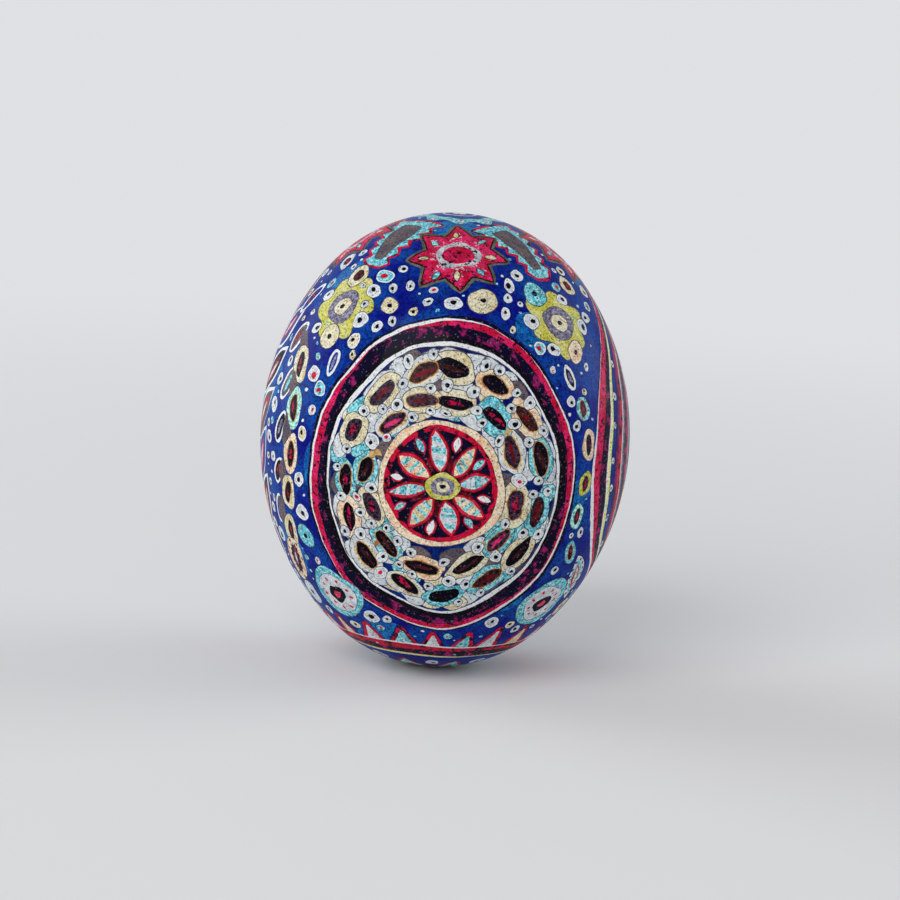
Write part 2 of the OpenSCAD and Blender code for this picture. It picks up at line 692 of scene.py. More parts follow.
def red_star(sheet, reach):
    """An eight-pointed star in layers, with a white ring round its red heart."""
    corners = star(star_tips, reach, reach * 0.64, 0.07)
    draw("olive", sheet, corners, 1.4)
    draw("soot", sheet, corners, 0.5)
    draw("pink_flecked", sheet, corners)
    draw("worn_pink", sheet, star(star_tips, reach * 0.8, reach * 0.46, 0.12))
    draw("white_flecked", sheet, oval(reach * 0.43, reach * 0.4, 0.1))
    draw("pink_flecked", sheet, oval(reach * 0.3, reach * 0.28, 0.12))
    draw("ember", sheet, oval(reach * 0.13, reach * 0.11, 0.2, small_step))
    for i in range(star_tips):
        a = math.tau * (i + shake(0.15)) / star_tips + math.pi / 2
        far = reach * hand.uniform(0.6, 0.68)
        petal = lens(hand.uniform(3.2, 4.2), 1.7, 0.2)
        edged("turquoise" if i % 2 else "cream", spot(sheet, *on_oval(far, far, a), a), petal, 0.3, "soot")


print("tips of a star, lobes of a flower, spots of a daisy:", star_tips, flower_lobes, daisy_spots)

# %% Draw the leaves
bead_count = 6
feather_teeth = 14
feather_dots = 6


def leaf(place, length, width, inside):
    """A white-edged leaf with a crimson ring and a white vein."""
    edged("bright", place, lens(length, width, 0.1), 0.35, "deep_line")
    draw(inside, place, lens(length - 3.6, width - 2.0, 0.1))
    draw("crimson_blotch", place, lens(length * 0.62, width * 0.44, 0.14))
    draw("white", place, lens(length * 0.44, width * 0.17, 0.25))


def white_oval(place, length, width):
    """A white-edged oval with a dark field and a core of another dye."""
    edged("bright", place, oval(length / 2, width / 2, 0.06), 0.3, "deep_line")
    inside = hand.choice(("navy", "navy", "cobalt", "grey"))
    draw(inside, place, oval(length / 2 - 1.0, width / 2 - 0.9, 0.07))
    core = hand.choice(("lilac", "lilac", "ember", "turquoise"))
    draw(core, place, oval(length * 0.25, width * 0.15, 0.25, 0.7))


def beaded_leaf(place, length, width):
    """A pale leaf with black beads along both edges and a crimson ring inside."""
    edged("white", place, lens(length, width, 0.12), 0.3, "deep_line")
    draw("turquoise", place, lens(length - 4, width - 2.4, 0.12))
    draw("crimson", place, lens(length * 0.56, width * 0.42, 0.14))
    draw("mint", place, lens(length * 0.44, width * 0.2, 0.2))
    for side in (-1, 1):
        for i in range(1, bead_count + 1):
            t = i / (bead_count + 1)
            bead_v = side * (width / 2 * math.sin(math.pi * t) - 0.5)
            bead = oval(0.65, 0.5, 0.2, small_step)
            draw("soot", place, moved(bead, length * (t - 0.5), bead_v))


def feathered_seed(place, length, width):
    """A dark almond with a toothed edge and a white vein, in a wide peach field."""
    edged("peach", place, oval(length / 2 + 2.6, width / 2 + 2.4, 0.09), 0.3)
    edge = []
    for i in range(2 * feather_teeth):
        far = 1 + (0.16 if i % 2 else -0.12) * hand.uniform(0.6, 1.4)
        edge.append(on_oval(length / 2 * far, width / 2 * far, math.tau * i / (2 * feather_teeth)))
    draw("navy", place, edge)
    draw("ember", place, oval(length * 0.36, width * 0.22, 0.25))
    draw("white", place, lens(length * 0.46, width * 0.16, 0.25))
    for i in range(feather_dots):
        a = math.tau * (i + hand.uniform(0.2, 0.8)) / feather_dots
        dot = oval(0.7, 0.5, 0.2, small_step)
        draw("soot", place, moved(dot, *on_oval(length / 2 + 1.5, width / 2 + 1.4, a)))


print("beads along a leaf's edge:", bead_count, "teeth round a feathered seed:", feather_teeth)

# %% [markdown]
# ## The two oval panels
#
# Pysanky are often divided into panels, which are filled one by one. Here an oval panel fills the front
# and another the back, in the egg's own dyes and at the scale of its figures. A blotched red and navy
# border holds rows of seeds that follow it, and a rosette fills the middle. Loose dots go in last, each
# tried at a random place and kept only if it is clear of the seeds and of the dots before it.

# %% Place the seeds and dots of a panel
golden_share = 0.618
dot_tries = 4000


def near_seed(u, v, radius, one):
    """True where a dot would touch the dark part of a seed."""
    seed_u, seed_v, turn, length, width = one
    along = (u - seed_u) * math.cos(turn) + (v - seed_v) * math.sin(turn)
    across = (v - seed_v) * math.cos(turn) - (u - seed_u) * math.sin(turn)
    return (along / (length / 2 + radius + 0.1)) ** 2 + (across / (width / 2 + radius + 0.1)) ** 2 < 1


def seed_rows(half_u, half_v):
    """Seeds lying along ovals, a row at a time, as (u, v, turn, length, width)."""
    seeds = []
    for share, gap in ((0.86, 14.2), (0.645, 13.4)):
        a, b = half_u * share, half_v * share
        count = round(math.pi * (a + b) / gap)
        start = any_turn()
        for i in range(count):
            t = start + math.tau * (i + shake(0.14)) / count
            u = a * math.cos(t) + shake(0.8)
            v = b * math.sin(t) + shake(0.8)
            turn = math.atan2(b * math.cos(t), -a * math.sin(t)) + shake(0.25)
            seeds.append((u, v, turn, hand.uniform(8.8, 11.4), hand.uniform(4.0, 5.0)))
    return seeds


def loose_in_panel(half_u, half_v, heart, seeds):
    """Places for dots that miss the seeds, the heart and each other, as (u, v, radius)."""
    dots = []
    for trial in range(dot_tries):
        t, share = any_turn(), hand.uniform(0.42, 0.95)
        u, v = on_oval(half_u * share, half_v * share, t)
        radius = hand.uniform(1.5, 2.5)
        in_heart = math.hypot(u, v) < heart + radius + 0.3
        if in_heart or any(near_seed(u, v, radius, one) for one in seeds):
            continue
        if all(math.hypot(u - a, v - b) >= radius + r + 1.3 for a, b, r in dots):
            dots.append((u, v, radius))
    return dots


print("turn between one patch and the next:", round(360 * golden_share), "degrees")

# %% Fill a panel with seeds
patch_count = 72
stain_count = 24


def seed_panel(sheet, half_u, half_v, heart):
    """Under-patches, haloes, seeds and ring-dots between the border and the heart."""
    draw("hairline", sheet, oval(half_u, half_v, 0.012, 1.2))
    draw("deep_blue", sheet, oval(half_u - 0.3, half_v - 0.3, 0.012, 1.2))
    seeds = seed_rows(half_u, half_v)
    for patch in range(patch_count):
        t, share = math.tau * (patch * golden_share % 1), (0.93, 0.75, 0.55, 0.92)[patch % 4]
        place = spot(sheet, *on_oval(half_u * share, half_v * share, t), t + math.pi / 2)
        blob = oval(hand.uniform(3.4, 5.6), hand.uniform(2.2, 3.0), 0.14)
        edged(hand.choice(("white", "white", "white", "cream", "grey", "turquoise")), place, blob, 0.25)
    for u, v, turn, length, width in seeds:
        halo(spot(sheet, u, v, turn), length, width, hand.choice(halo_dyes), hand.uniform(1.6, 2.6))
    for stain in range(stain_count):
        t, share = any_turn(), hand.uniform(0.55, 0.9)
        blot = oval(hand.uniform(0.7, 1.7), hand.uniform(0.4, 0.9), 0.35, small_step)
        draw("scorch", spot(sheet, *on_oval(half_u * share, half_v * share, t), t), blot)
    for u, v, turn, length, width in seeds:
        seed(spot(sheet, u, v, turn), length, width, *hand.choice(seed_dyes))
    dots = loose_in_panel(half_u, half_v, heart, seeds)
    for u, v, radius in dots:
        ring_dot(spot(sheet, u, v), radius, eye="crimson" if hand.random() < 0.12 else "soot")
    return len(seeds), len(dots)


print("patches and scorched stains in a panel:", patch_count, stain_count)

# %% Draw the rosette at the panel's heart
rosette_petals = 8
stripe_pairs = (
    ("turquoise", "white"),
    ("cream", "turquoise"),
    ("white", "turquoise"),
    ("peach", "turquoise"),
)


def striped_petal(place, length, width, stripes):
    """A petal crossed by slanting stripes of a second dye."""
    first, second = stripes
    edged("crimson", place, lens(length + 2.0, width + 1.6, 0.08), 0.4, "oxblood")
    draw(first, place, lens(length, width, 0.08))
    count = round(length / 2.9)
    for i in range(1, count):
        t = (i + shake(0.2)) / count
        half = width / 2 * leaf_share(t) - 0.1
        if half < 0.5:
            continue
        x, thick = length * (t - 0.5), hand.uniform(0.5, 0.9)
        start, end = x - thick, x + thick
        low_edge = [(start - 0.3, -half), (end - 0.5, -half)]
        draw(second, place, low_edge + [(end + 0.3, half), (start + 0.5, half)])


def rosette(sheet, radius):
    """A dark disc in a peach rim, with petals round a yellow heart."""
    edged("peach", sheet, oval(radius + 2.6, radius + 2.2, 0.045), 0.25)
    draw("crimson_blotch", sheet, oval(radius + 0.4, radius + 0.2, 0.035))
    draw("navy", sheet, oval(radius - 1.4, radius - 1.4, 0.03))
    for i in range(rosette_petals):
        a = math.tau * (i + shake(0.08)) / rosette_petals + 0.2
        far = radius * 0.58
        long, wide = radius * hand.uniform(0.58, 0.66), radius * hand.uniform(0.2, 0.26)
        striped_petal(spot(sheet, *on_oval(far, far, a), a), long, wide, stripe_pairs[i % 4])
        b = a + math.pi / rosette_petals
        far = radius * hand.uniform(0.76, 0.82)
        tooth_place = spot(sheet, *on_oval(far, far, b), b)
        tooth = lens(radius * 0.26, radius * 0.12, 0.15)
        edged("bright" if i % 2 else "turquoise", tooth_place, tooth, 0.55, "crimson_blotch")
        strip_place = spot(sheet, *on_oval(far * 0.55, far * 0.55, b), b)
        draw("oxblood", strip_place, lens(radius * 0.3, radius * 0.07, 0.2))
    edged("yellow", sheet, oval(radius * 0.27, radius * 0.25, 0.07), 0.3, "soot")
    draw("lilac", sheet, oval(radius * 0.19, radius * 0.17, 0.08))
    draw("cream", sheet, oval(radius * 0.11, radius * 0.1, 0.1))
    draw("soot", sheet, oval(0.85, 0.75, 0.15, small_step))


print("petals in a rosette:", rosette_petals)

# %% Draw the two panels
panel_half_wide, panel_half_tall = 46, 51
panel_arc = girth_arc + 5
border_width = 8.2
rosette_radius = 18
rosette_room = 20.5
border = (
    ("navy", -0.9, 0.01),
    ("bright", 0.0, 0.004),
    ("pink_flecked", 0.6, 0.01),
    ("navy_blotch", 2.4, 0.024),
    ("soot", 5.4, 0.018),
    ("bright", 7.1, 0.012),
)
large_fields = []


def keep_clear(sheet, half_u, half_v):
    """Remembers a large oval on a sheet that the loose dots, drawn last, stay out of."""
    large_fields.append((sheet[0], half_u, half_v))


for longitude in (0, 180):
    panel = sheet_at(longitude, latitude(panel_arc))
    keep_clear(panel, panel_half_wide, panel_half_tall)
    for dye, inward, wobble in border:
        draw(dye, panel, oval(panel_half_wide - inward, panel_half_tall - inward, wobble, 1.2))
    counts = seed_panel(panel, panel_half_wide - border_width, panel_half_tall - border_width, rosette_room)
    rosette(panel, rosette_radius)
    print("panel at", longitude, "degrees: seeds and dots", counts)

# %% [markdown]
# ## The sides
#
# Between the panels, each side has a tall figure of its own. The left side gets a spray of white-edged
# leaves, like an ear of wheat, and the right side a nest of ribbons in red, navy and white, which are both
# old pysanka figures. Tables give each row's height and distance from the stem, and a loop draws both
# halves, which mirror each other in form but for the shake of the hand.

# %% Draw the spray of leaves
upright = math.pi / 2
spray = sheet_at(-90, latitude(girth_arc - 2))
stem = [(1.8 * math.sin(v / 17), v) for v in range(-48, 38, 3)]
draw("deep_line", spray, stroke(stem, (3.4, 4.6, 2.6)))
draw("crimson_blotch", spray, stroke(stem, (2.6, 3.6, 1.8)))
draw("bright", spray, stroke(stem, (0.6, 1.1, 0.5)))
leaf(spot(spray, 1.5, 44, upright), 22, 11.5, "grey")
for row, (v, length) in enumerate(((34, 21), (19.5, 25), (5, 28), (-9.5, 28), (-24, 26), (-38, 19))):
    for side in (-1, 1):
        lean = upright - side * (0.62 + shake(0.08))
        inside = ("grey", "cobalt", "navy")[(row + (side > 0)) % 3]
        leaf_place = spot(spray, side * (3.4 + length * 0.3), v, lean)
        leaf(leaf_place, length, hand.uniform(10.4, 11.8), inside)
for side in (-1, 1):
    for v, far in ((45, 15), (33, 24), (19, 29.5), (4.5, 31), (-10, 30.5), (-24, 27.5)):
        place = spot(spray, side * far, v, upright - side * hand.uniform(0.1, 0.4))
        white_oval(place, hand.uniform(10, 12.5), hand.uniform(5.2, 6.2))
    for v, far in ((26, 33), (12, 37.2), (-3, 38.4), (-17, 36.5), (-31, 31.5)):
        place = spot(spray, side * far, v, upright + side * v / 60)
        draw("grey", spot(spray, side * (far - 2.5), v + 5, place[3] + 0.3 * side), oval(6.6, 2.6, 0.14))
        halo(place, 8.6, 3.4, hand.choice(halo_dyes), 2.2)
        seed(place, 8.8, 3.4)
    feathered_seed(spot(spray, side * 25.5, -42, upright - side * 0.5), 13, 5.6)
print("figures with the spray:", len(drawing))

# %% Draw the nested ribbons
ribbons = sheet_at(90, latitude(girth_arc - 2))
nest = (
    ("deep_line", 110, 41.0),
    ("bright", 109, 40.4),
    ("pink_flecked", 108, 39.6),
    ("navy_blotch", 105, 36.8),
    ("bright", 101, 32.8),
    ("pale_yellow", 100, 32.1),
    ("cobalt", 98.5, 30.5),
    ("deep_line", 92, 26.8),
    ("plum", 91.6, 26.5),
    ("crimson_blotch", 87.5, 23.8),
    ("bright", 84.5, 21.2),
    ("lilac", 83, 20.4),
    ("navy_blotch", 79.5, 18.4),
    ("pink_flecked", 73, 13.8),
    ("mint", 68, 11.4),
    ("deep_blue", 66, 10.4),
)
for dye, length, half in nest:
    draw(dye, spot(ribbons, 0, 0, upright), lens(length, 2 * half, 0.025, 1.2))
nest_middle = (40.8, 50)
nest_points = (7, 56)
keep_clear(ribbons, *nest_middle)
keep_clear(ribbons, *nest_points)
for v, dye in ((-25, "mint"), (-13, "yellow"), (0, "turquoise"), (13, "cream"), (25, "mint")):
    halo(spot(ribbons, 0, v, upright), 8, 3.4, dye, 2.0)
    seed(spot(ribbons, 0, v, upright), 8, 3.4)
for side in (-1, 1):
    beaded_leaf(spot(ribbons, side * 28, -42, upright - side * 0.6), 21, 7.4)
    for v, dye in ((-19, "mint"), (-6.5, "yellow"), (6.5, "peach"), (19, "turquoise")):
        place = spot(ribbons, side * 43.6, v, upright + side * (v / 90 + shake(0.12)))
        halo(place, 6.6, 2.6, dye, 1.5)
        seed(place, 6.6, 2.6, "ember", "dusk")
    for v in range(-30, 31, 10):
        far = 28.6 * leaf_share(0.5 + abs(v) / 96)
        ring_dot(spot(ribbons, side * far, v + shake(1)), hand.uniform(1.1, 1.4), line="deep_line")
print("figures with the ribbons:", len(drawing))

# %% [markdown]
# ## The blunt end
#
# Round the blow hole is a thin drawn line and a scalloped turquoise ring. Red eight-pointed stars stand
# below it, one over each panel and side, with toothed grey patches between them and yellow flowers lower
# down. Figures that go right round the egg are drawn straight on the chart, as bands whose two edges are
# functions of the longitude.

# %% Draw the rings round the hole
scallops = 8
hole_dot_arc = 11.9
hole_field = 8


def wavy(base, swing=0.0, waves=0):
    """A band's edge that swings to and fro so many times on its way round."""
    return lambda turn: base + swing * math.sin(waves * turn)


def scalloped(base, swing):
    """A band's edge in uneven scallops."""
    return lambda turn: (
        base + swing * math.cos(scallops * turn + 0.4 * math.sin(2 * turn)) + 0.4 * math.sin(3 * turn + 1)
    )


girdle("soft_white", wavy(4.9, 0.12, 3), wavy(5.7, 0.1, 4))
girdle("hairline", scalloped(9.1, 0.4), scalloped(13.9, 1.3))
girdle("turquoise", scalloped(9.4, 0.4), scalloped(13.6, 1.3))
for k in range(scallops):
    dot_sheet = sheet_at(360 * k / scallops + shake(3), latitude(hole_dot_arc))
    ring_dot(dot_sheet, hand.uniform(1.2, 1.6), eye="crimson")
keep_clear(sheet_at(0, 89.9), hole_field, hole_field)
print("dots round the hole:", scallops)

# %% Draw the stars, patches and flowers
star_arc, star_reach = 33.5, 15.5
patch_arc = 30
flower_arc, flower_radius = 59.5, 11.8
over_figures = (0, 90, 180, 270)
between_figures = (45, 135, 225, 315)


def toothed_patch(sheet):
    """A grey shield with a turquoise zigzag down each side, in a red line."""
    shield = [(-2.4, -11), (2.4, -11), (6.4, 4), (5.6, 11), (-5.6, 11), (-6.4, 4)]
    zigzag = [(2.6, -13)]
    for i in range(5):
        v = -11 + 4.6 * i + shake(0.4)
        zigzag += [(5.0 + 0.9 * i, v + 0.6), (2.9 + 0.9 * i, v + 2.9)]
    zigzag.append((8.6, 13.5))
    jagged = sides_split(zigzag + [(-u, v) for u, v in zigzag[::-1]])
    draw("crimson_blotch", sheet, jagged, 1.1)
    draw("turquoise", sheet, jagged)
    edged("grey", sheet, sides_split([(u * 0.66, v * 0.88) for u, v in shield]), 0.25)


for longitude in between_figures:
    patch_sheet = sheet_at(longitude, latitude(patch_arc), shake(6))
    keep_clear(patch_sheet, 6, 12)
    toothed_patch(patch_sheet)
    flower_sheet = sheet_at(longitude + shake(2), latitude(flower_arc), hand.uniform(0, 60))
    yellow_flower(flower_sheet, flower_radius)
for longitude in over_figures:
    star_sheet = sheet_at(longitude + shake(3), latitude(star_arc), hand.uniform(0, 45))
    keep_clear(star_sheet, star_reach * 0.8, star_reach * 0.8)
    red_star(star_sheet, star_reach)
print("figures with the stars and flowers:", len(drawing))

# %% [markdown]
# ## The pointed end
#
# A red and navy girdle closes the design below, with a row of wolves' teeth standing on it. Under it is a
# rosette of mint and turquoise petals, out of sight while the egg stands. Daisies of red dots stand over
# the girdle between the panels.

# %% Draw the girdle and its teeth
girdle_arc = whole_arc - 37
tooth_count = 22
tooth_root = -2


def tooth(half_wide, lean, half_tip, tall):
    """A leaning tooth with a blunt tip, rooted under the girdle."""
    foot = [(-half_wide, tooth_root), (half_wide, tooth_root)]
    return sides_split(foot + [(lean + half_tip, tall), (lean - half_tip, tall)])


def wavering(base):
    """A girdle edge that wanders a little on its way round."""
    return lambda turn: base + 0.45 * math.sin(3 * turn + base) + 0.25 * math.sin(7 * turn)


for i in range(tooth_count):
    tooth_sheet = sheet_at(360 * (i + shake(0.08)) / tooth_count, latitude(girdle_arc - 1))
    tall, wide, lean = hand.uniform(7.5, 10), hand.uniform(4.0, 4.8), shake(0.8)
    edged("crimson_blotch", tooth_sheet, tooth(wide, lean, 0.9, tall), 0.4, "deep_line")
    inner = tooth(wide - 1.6, lean, 0.4, tall - 2)
    draw(("white", "turquoise", "white", "cream")[i % 4], tooth_sheet, inner)
for dye, start, end in (
    ("bright", -0.6, 7.4),
    ("crimson_blotch", 0.0, 6.8),
    ("navy_blotch", 3.0, 6.2),
    ("pale_yellow", 6.4, 7.2),
):
    girdle(dye, wavering(girdle_arc + start), wavering(girdle_arc + end))
print("teeth on the girdle:", tooth_count)

# %% Draw the lower rosette and the daisies
lower_petals = 8
lower_field = 28
daisy_arc, daisy_radius = girdle_arc - 21, 10
for k in range(lower_petals):
    ray = 360 * k / lower_petals
    petal_place = spot(sheet_at(ray + 180 / lower_petals, latitude(whole_arc - 16)), 0, 0, upright)
    edged("crimson_blotch", petal_place, lens(20, 9.6, 0.08), 0.3, "deep_line")
    draw("mint" if k % 2 else "turquoise", petal_place, lens(17.2, 7, 0.08))
    seed(petal_place, 7, 2.6)
    ring_dot(sheet_at(ray, latitude(whole_arc - 23.5)), 2.6, line="deep_line")
    ring_dot(sheet_at(ray, latitude(whole_arc - 14.5)), 1.6, line="deep_line")
past_pole = wavy(whole_arc + 0.01)
girdle("hairline", wavy(whole_arc - 5.2, 0.2, 5), past_pole)
girdle("yellow", wavy(whole_arc - 4.9, 0.2, 5), past_pole)
girdle("oxblood", wavy(whole_arc - 2.4, 0.1, 4), past_pole)
keep_clear(sheet_at(0, -89.9), lower_field, lower_field)
for longitude in between_figures:
    daisy(sheet_at(longitude + shake(4), latitude(daisy_arc), hand.uniform(0, 40)), daisy_radius)
print("figures so far:", len(drawing))

# %% [markdown]
# ## Loose dots on the blue
#
# Whatever blue is left between the figures is filled with loose dots of many sizes, none touching its
# neighbour. Places are tried at random, always in the same order, and one is kept if it is clear of every
# figure and of every dot before it. The large kinds are tried first, so the small ones fill what is left.
# The blue itself is uneven, because dye pools as it dries. So paler pools go under all the figures, spread
# evenly over the egg by turning each one on from the last by the golden share of a circle.

# %% Scatter the loose dots
drawn_points = np.concatenate([to_egg(across, heights)[::2] for dye, (across, heights) in drawing])
drawn_tree = kdtree.KDTree(len(drawn_points))
for i, point in enumerate(drawn_points):
    drawn_tree.insert(point, i)
drawn_tree.balance()
loose = []
kinds = [("disc", 4.3)] * 900 + [("oval", 5.4)] * 400 + [("seed", 4.7)] * 900 + [("ring", 2.4)] * 7000
kinds += [("small ring", 1.5)] * 5000 + [("speck", 0.8)] * 2500
dot_dyes = [("white", "soot")] * 5 + [("white", "crimson"), ("cream", "soot"), ("turquoise", "crimson")]


def outside_fields(direction, margin):
    """True where a dot with this margin in mm touches no large field."""
    for (right, up, outward, reach), half_u, half_v in large_fields:
        angle = direction.angle(outward)
        side = math.sin(angle) or 1
        u = reach * angle * direction.dot(right) / side
        v = reach * angle * direction.dot(up) / side
        if (u / (half_u + margin)) ** 2 + (v / (half_v + margin)) ** 2 < 1:
            return False
    return True


def loose_figure(kind, place, radius):
    """Draws one loose figure of a kind."""
    long, wide = 1.25 * radius, 0.5 * radius
    if kind in ("ring", "small ring"):
        ring_dot(place, radius, *hand.choice(dot_dyes), "deep_line")
    elif kind == "disc":
        big_disc(spot(place, 0, 0), radius)
    elif kind == "oval":
        white_oval(place, 2 * radius, 0.95 * radius)
    elif kind == "seed":
        halo(place, long, wide, hand.choice(halo_dyes), 0.36 * radius)
        seed(place, long, wide)
    else:
        dye = hand.choice(("white", "turquoise", "white"))
        draw(dye, spot(place, 0, 0), oval(radius * 0.7, radius * 0.6, 0.12, small_step))


for kind, usual in kinds:
    height, turn = shake(1), any_turn()
    flat = math.sqrt(1 - height * height)
    direction = Vector((flat * math.sin(turn), -flat * math.cos(turn), height))
    radius = usual * hand.uniform(0.7, 1.3)
    if not outside_fields(direction, radius + 0.4):
        continue
    point = to_egg(*to_chart(shaken([direction])))[0]
    if drawn_tree.find(point)[2] < radius + 0.45:
        continue
    if any(math.dist(point, (x, y, z)) < radius + r + 0.7 for x, y, z, r in loose):
        continue
    loose.append((*point, radius))
    sheet = sheet_at(math.degrees(turn), math.degrees(math.asin(height)))
    loose_figure(kind, spot(sheet, 0, 0, upright + shake(0.6)), radius)
print("loose dots:", len(loose), "figures:", len(drawing))

# %% Lay paler pools of blue under everything
figure_count = len(drawing)
pool_count = 32
for pool in range(pool_count):
    height = 1 - 2 * (pool + 0.5) / pool_count
    sheet = sheet_at(360 * (pool * golden_share % 1), math.degrees(math.asin(height)))
    shape = oval(hand.uniform(7, 11), hand.uniform(5, 8), 0.16, 1.6)
    draw("azure", turned(sheet), shape)
drawing = drawing[figure_count:] + drawing[:figure_count]
print("pools of paler blue:", pool_count)

# %% [markdown]
# ## Cutting the design into the shell
#
# No bmesh operator lays one outline over another on a curved form, so the shell's outer skin is made on
# the flat chart. Blender's own Delaunay routine takes every outline and a net of evenly spread points,
# cuts them all into triangles, and says which outlines hold each triangle. The last one drawn gives
# its dye. Then each point goes from the chart to its place on the egg. The chart's two sides are the same
# line on the egg, so their points are at the same heights and are welded there.

# %% Gather the outlines on the chart
outline_points = []
outline_faces = []
outline_dyes = []
ring_steps = 64
net_gap = 3.0


def lay_down(points, dye):
    """Adds one closed outline to the chart, turned anticlockwise."""
    area = sum(a[0] * b[1] - b[0] * a[1] for a, b in zip(points, points[1:] + points[:1]))
    if area < 0:
        points = points[::-1]
    first = len(outline_points)
    outline_points.extend(Vector(point) for point in points)
    outline_faces.append(list(range(first, first + len(points))))
    outline_dyes.append(dye)


rows = []
net_arc = float(np.interp(-chart_top, -chart_height, fine_arc))
last_arc = float(np.interp(-chart_bottom, -chart_height, fine_arc))
while net_arc < last_arc:
    ring = float(np.interp(net_arc, fine_arc, fine_out))
    count = max(ring_steps, round(math.tau * ring / net_gap))
    rows.append((float(np.interp(net_arc, fine_arc, chart_height)), count))
    net_arc += math.tau * ring / count
edge_heights = [height for height, count in rows[1:-1]]
edge_places = [-chart_side + 2 * chart_side * i / ring_steps for i in range(ring_steps + 1)]
frame_corners = [(x, chart_top) for x in edge_places[::-1]]
frame_corners += [(-chart_side, height) for height in edge_heights]
frame_corners += [(x, chart_bottom) for x in edge_places]
frame_corners += [(chart_side, height) for height in edge_heights[::-1]]
lay_down(frame_corners, "cobalt")
for dye, (across, heights) in drawing:
    low, high = across.min(), across.max()
    shifts = (0,) if high - low > chart_side else (-2 * chart_side, 0, 2 * chart_side)
    for shift in shifts:
        if high + shift > -chart_side and low + shift < chart_side:
            lay_down(list(zip(across + shift, heights)), dye)
print("outlines on the chart:", len(outline_faces), "with", len(outline_points), "points")

# %% Add the net and cut it all into triangles
inside_share = 0.9999
weld_reach = 0.002
triangles_in_outlines = 1
for row, (height, count) in enumerate(rows[1:-1]):
    for i in range(count):
        x = -chart_side + 2 * chart_side * (i + 0.5 * (row % 2)) / count
        if abs(x) < chart_side * inside_share:
            outline_points.append(Vector((x, height)))
cut = delaunay_2d_cdt(outline_points, [], outline_faces, triangles_in_outlines, weld_reach, True)
cut_points = np.array([point[:] for point in cut[0]])
skin_faces = []
skin_dyes = []
for corners, holders in zip(cut[2], cut[5]):
    if 0 in holders:
        skin_faces.append(corners)
        skin_dyes.append(outline_dyes[max(holders)])
skin_places = to_egg(cut_points[:, 0], cut_points[:, 1])
print("triangles in the skin:", len(skin_faces))

# %% Wrap the skin on the egg
seam_weld = 0.004 * MM
dye_names = sorted(set(skin_dyes))
shell_work = bmesh.new()
used = sorted({corner for face in skin_faces for corner in face})
skin_corner = {corner: shell_work.verts.new(skin_places[corner] * MM) for corner in used}
for corners, dye in zip(skin_faces, skin_dyes):
    face = shell_work.faces.new([skin_corner[corner] for corner in corners])
    face.material_index = dye_names.index(dye)
edge_ring = [vert for vert in shell_work.verts if vert.is_boundary]
bmesh.ops.remove_doubles(shell_work, verts=edge_ring, dist=seam_weld)
open_edges = [edge for edge in shell_work.edges if edge.is_boundary]
end_edges = [edge for edge in open_edges if edge.verts[0].co.z < 0]
end_fan = bmesh.ops.holes_fill(shell_work, edges=end_edges, sides=0)["faces"]
end_tip = bmesh.ops.poke(shell_work, faces=end_fan)["verts"][0]
end_tip.co = (0, 0, -half_length * MM)
for face in end_tip.link_faces:
    face.material_index = dye_names.index("oxblood")
print("skin closed but for", len([e for e in shell_work.edges if e.is_boundary]), "edges at the hole")

# %% [markdown]
# ## The hole and the inside
#
# The hole at the blunt end was drilled and then cleaned with a countersink, which leaves a raw white
# bevel. The bevel, the hole's wall and the shell's inner face are one profile, spun about the egg's axis
# and welded to the skin at the hole's mouth. The weld mixes up the order of the faces, so what was spun is
# named raw shell before it.

# %% Draw the profile of the bevel, the hole and the inner face
profile_gap = 2.4
inner_steps = 40
first_wall_step = 0.6
bevel_floor = mouth_height - bevel_width * math.tan(bevel_slope)
inner_start = blunt_centre + math.sqrt((blunt_radius - shell_thickness) ** 2 - hole_radius**2)
profile = [
    (mouth_radius, mouth_height),
    (mouth_radius - 0.5 * bevel_width, (mouth_height + bevel_floor) / 2),
    (hole_radius, bevel_floor),
    (hole_radius, bevel_floor - first_wall_step),
    (hole_radius, inner_start),
]
inner_out, inner_up = meridian(shell_thickness, inner_steps)[:2]
for out, up in zip(inner_out, inner_up):
    if out > hole_radius * 1.2 or up < 0:
        if math.hypot(out - profile[-1][0], up - profile[-1][1]) > profile_gap:
            profile.append((max(out, 0), up))
profile[-1] = (0, -(half_length - shell_thickness))
print("profile points:", len(profile))

# %% Spin it and weld it to the skin
mouth_weld = 0.02 * MM
tip_weld = 0.01 * MM
skin = set(shell_work.faces)
line = [shell_work.verts.new((0, -out * MM, up * MM)) for out, up in profile]
edges = [shell_work.edges.new(pair) for pair in zip(line, line[1:])]
bmesh.ops.spin(
    shell_work,
    geom=line + edges,
    cent=(0, 0, 0),
    axis=(0, 0, 1),
    angle=math.tau,
    steps=ring_steps,
    use_merge=True,
)
dye_names.append("raw_shell")
spun = [face for face in shell_work.faces if face not in skin]
for face in spun:
    face.material_index = dye_names.index("raw_shell")
print("faces of raw shell:", len(spun))
mouth_verts = [v for v in shell_work.verts if v.is_boundary]
bmesh.ops.remove_doubles(shell_work, verts=mouth_verts, dist=mouth_weld)
low_tip = [v for v in shell_work.verts if v.co.xy.length < tip_weld and v.co.z > -(half_length - 1) * MM]
bmesh.ops.remove_doubles(shell_work, verts=low_tip, dist=tip_weld)
shell_work.verts.ensure_lookup_table()
loose_parts = [v for v in shell_work.verts if not v.link_faces]
bmesh.ops.delete(shell_work, geom=loose_parts, context="VERTS")
print("open or crossed edges:", len([edge for edge in shell_work.edges if not edge.is_manifold]))

